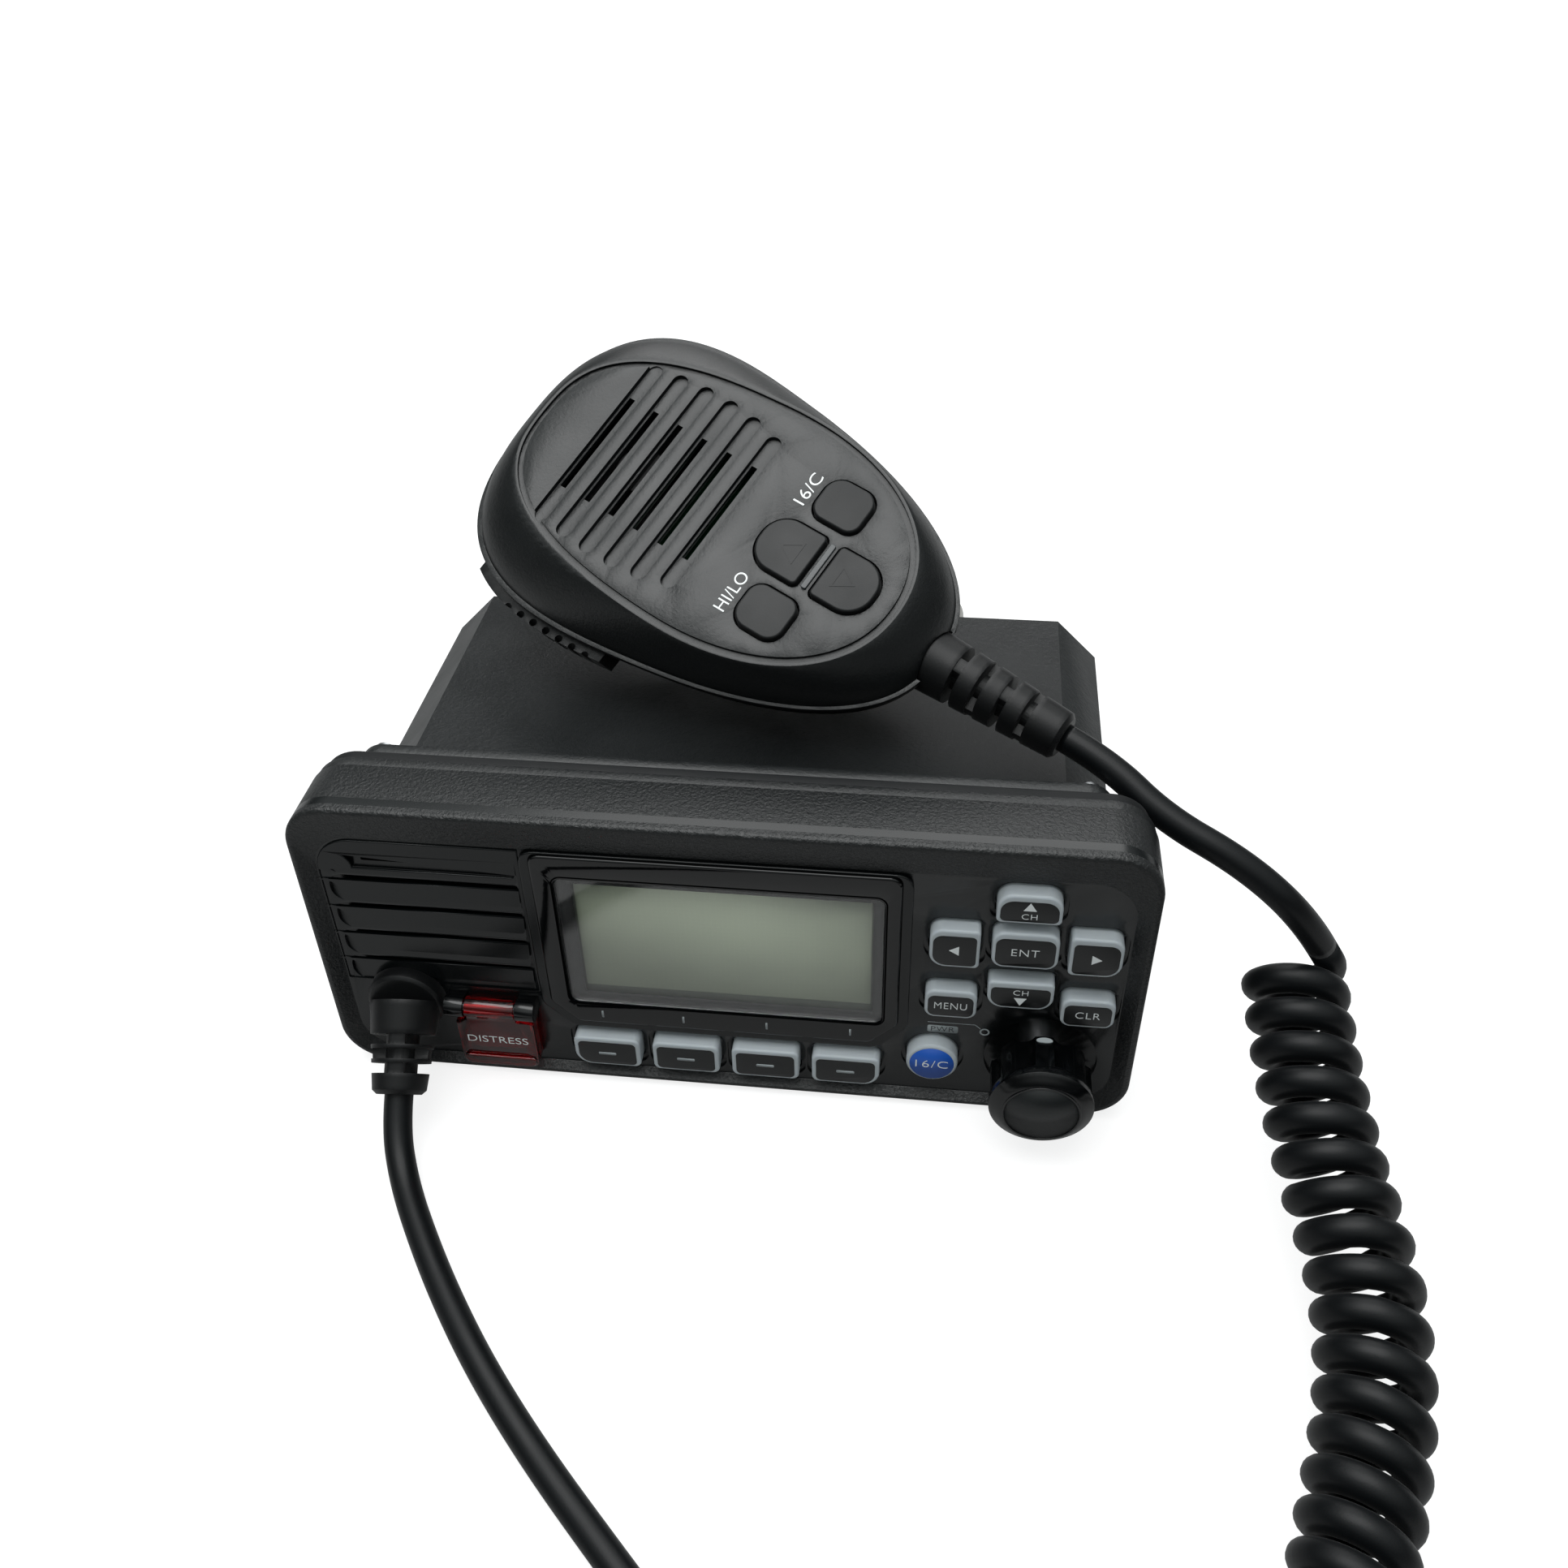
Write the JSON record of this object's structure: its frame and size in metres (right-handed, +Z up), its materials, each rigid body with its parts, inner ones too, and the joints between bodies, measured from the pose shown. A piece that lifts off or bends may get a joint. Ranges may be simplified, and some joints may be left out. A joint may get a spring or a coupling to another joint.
{
  "type": "marine VHF radio",
  "caption": "Compact fixed marine radio with a grille, display, keypad, hinged emergency key cover and rotary knob, its fist microphone lying on top, joined by a curly cord.",
  "frame": {"origin": "middle of the footprint of the radio with its microphone, without the cords, on the surface it stands on", "axes": "+X to the radio's right as seen from its front, +Y to its back, +Z up"},
  "size_m": [0.2014, 0.2716, 0.107],
  "materials": {
    "case_plastic": "moulded matte grain",
    "panel_gloss": "polished",
    "lens_clear": "clear window",
    "display_grey": "reflective film",
    "key_white": "translucent silicone, black printed top",
    "key_blue": "translucent silicone, blue printed top",
    "red_clear": "clear red cover",
    "key_red": "satin",
    "knob_gloss": "satin gloss",
    "mic_plastic": "moulded fine grain",
    "mic_key_rubber": "matte silicone",
    "black_rubber": "matte",
    "cord_rubber": "satin jacket",
    "cast_black": "black powder coat on a casting",
    "insert_brass": "machined",
    "screw_steel": "zinc plated",
    "socket_nickel": "nickel plated",
    "board_green": "solder mask",
    "speaker_black": "black frame, paper cone"
  },
  "bodies": {
    "radio": {"front_case": "case_plastic", "rear_frame": "case_plastic", "gasket": "black_rubber", "chassis": "cast_black", "bracket_inserts": "insert_brass", "case_screws": "screw_steel", "board_screws": "screw_steel", "display_frame": "panel_gloss", "display_lens": "lens_clear", "display_module": "display_grey", "hinge_knuckles": "panel_gloss", "hinge_pin": "screw_steel", "key_mat": "black_rubber", "front_board": "board_green", "main_board": "board_green", "loudspeaker": "speaker_black", "encoder": "case_plastic", "antenna_socket": "socket_nickel", "power_gland": "black_rubber", "data_gland": "black_rubber", "radio_boot": "black_rubber", "radio_lead": "cord_rubber", "curly_cord": "cord_rubber", "mic_lead": "cord_rubber"},
    "distress_cover": {"distress_cover": "red_clear"},
    "distress_key": {"distress_key": "key_red"},
    "soft_key_1": {"soft_key_1": "key_white"},
    "soft_key_2": {"soft_key_2": "key_white"},
    "soft_key_3": {"soft_key_3": "key_white"},
    "soft_key_4": {"soft_key_4": "key_white"},
    "key_up": {"key_up": "key_white"},
    "key_enter": {"key_enter": "key_white"},
    "key_down": {"key_down": "key_white"},
    "key_left": {"key_left": "key_white"},
    "key_right": {"key_right": "key_white"},
    "key_menu": {"key_menu": "key_white"},
    "key_clear": {"key_clear": "key_white"},
    "key_round": {"key_round": "key_blue"},
    "knob_push": {"knob_shaft": "screw_steel"},
    "knob": {"knob": "knob_gloss"},
    "microphone": {"mic_front_case": "mic_plastic", "mic_rear_case": "mic_plastic", "mic_boot": "black_rubber", "mic_capsule": "speaker_black", "mic_board": "board_green", "mic_hanger": "screw_steel"},
    "mic_key_round": {"mic_key_round": "mic_key_rubber"},
    "mic_key_power": {"mic_key_power": "mic_key_rubber"},
    "mic_key_up": {"mic_key_up": "mic_key_rubber"},
    "mic_key_down": {"mic_key_down": "mic_key_rubber"},
    "mic_talk_key": {"mic_talk_key": "mic_key_rubber"}
  },
  "joints": [
    {"name": "distress_cover_hinge", "type": "hinge", "parent": "radio", "child": "distress_cover", "pos_m": [-0.0455, -0.04834, 0.01988], "axis": [-1, 0, 0], "range_deg": [0, 110], "stiffness_Nm_per_rad": 0.002},
    {"name": "distress_key_push", "type": "slide", "parent": "radio", "child": "distress_key", "axis": [0, 0.9958, -0.0916], "range_m": [0, 0.0009], "stiffness_N_per_m": 800},
    {"name": "soft_key_1_push", "type": "slide", "parent": "radio", "child": "soft_key_1", "axis": [0, 0.9958, -0.0916], "range_m": [0, 0.0009], "stiffness_N_per_m": 800},
    {"name": "soft_key_2_push", "type": "slide", "parent": "radio", "child": "soft_key_2", "axis": [0, 0.9958, -0.0916], "range_m": [0, 0.0009], "stiffness_N_per_m": 800},
    {"name": "soft_key_3_push", "type": "slide", "parent": "radio", "child": "soft_key_3", "axis": [0, 0.9958, -0.0916], "range_m": [0, 0.0009], "stiffness_N_per_m": 800},
    {"name": "soft_key_4_push", "type": "slide", "parent": "radio", "child": "soft_key_4", "axis": [0, 0.9958, -0.0916], "range_m": [0, 0.0009], "stiffness_N_per_m": 800},
    {"name": "key_up_push", "type": "slide", "parent": "radio", "child": "key_up", "axis": [0, 0.9958, -0.0916], "range_m": [0, 0.0009], "stiffness_N_per_m": 800},
    {"name": "key_enter_push", "type": "slide", "parent": "radio", "child": "key_enter", "axis": [0, 0.9958, -0.0916], "range_m": [0, 0.0009], "stiffness_N_per_m": 800},
    {"name": "key_down_push", "type": "slide", "parent": "radio", "child": "key_down", "axis": [0, 0.9958, -0.0916], "range_m": [0, 0.0009], "stiffness_N_per_m": 800},
    {"name": "key_left_push", "type": "slide", "parent": "radio", "child": "key_left", "axis": [0, 0.9958, -0.0916], "range_m": [0, 0.0009], "stiffness_N_per_m": 800},
    {"name": "key_right_push", "type": "slide", "parent": "radio", "child": "key_right", "axis": [0, 0.9958, -0.0916], "range_m": [0, 0.0009], "stiffness_N_per_m": 800},
    {"name": "key_menu_push", "type": "slide", "parent": "radio", "child": "key_menu", "axis": [0, 0.9958, -0.0916], "range_m": [0, 0.0009], "stiffness_N_per_m": 800},
    {"name": "key_clear_push", "type": "slide", "parent": "radio", "child": "key_clear", "axis": [0, 0.9958, -0.0916], "range_m": [0, 0.0009], "stiffness_N_per_m": 800},
    {"name": "key_round_push", "type": "slide", "parent": "radio", "child": "key_round", "axis": [0, 0.9958, -0.0916], "range_m": [0, 0.0009], "stiffness_N_per_m": 800},
    {"name": "knob_push_slide", "type": "slide", "parent": "radio", "child": "knob_push", "axis": [0, 0.9958, -0.0916], "range_m": [0, 0.0006], "stiffness_N_per_m": 1200},
    {"name": "knob_turn", "type": "hinge", "parent": "knob_push", "child": "knob", "pos_m": [0.061, -0.04834, 0.01436], "axis": [0, -0.9958, 0.0916], "continuous": true},
    {"name": "microphone_lift", "type": "slide", "parent": "radio", "child": "microphone", "axis": [0, 0, 1], "range_m": [0, 0.06]},
    {"name": "mic_key_round_push", "type": "slide", "parent": "microphone", "child": "mic_key_round", "axis": [0.0614, 0.4609, -0.8853], "range_m": [0, 0.0006], "stiffness_N_per_m": 800},
    {"name": "mic_key_power_push", "type": "slide", "parent": "microphone", "child": "mic_key_power", "axis": [0.0614, 0.4609, -0.8853], "range_m": [0, 0.0006], "stiffness_N_per_m": 800},
    {"name": "mic_key_up_push", "type": "slide", "parent": "microphone", "child": "mic_key_up", "axis": [0.0614, 0.4609, -0.8853], "range_m": [0, 0.0006], "stiffness_N_per_m": 800},
    {"name": "mic_key_down_push", "type": "slide", "parent": "microphone", "child": "mic_key_down", "axis": [0.0614, 0.4609, -0.8853], "range_m": [0, 0.0006], "stiffness_N_per_m": 800},
    {"name": "mic_talk_key_push", "type": "slide", "parent": "microphone", "child": "mic_talk_key", "axis": [0.5065, 0.7499, 0.4256], "range_m": [0, 0.0012], "stiffness_N_per_m": 800}
  ]
}
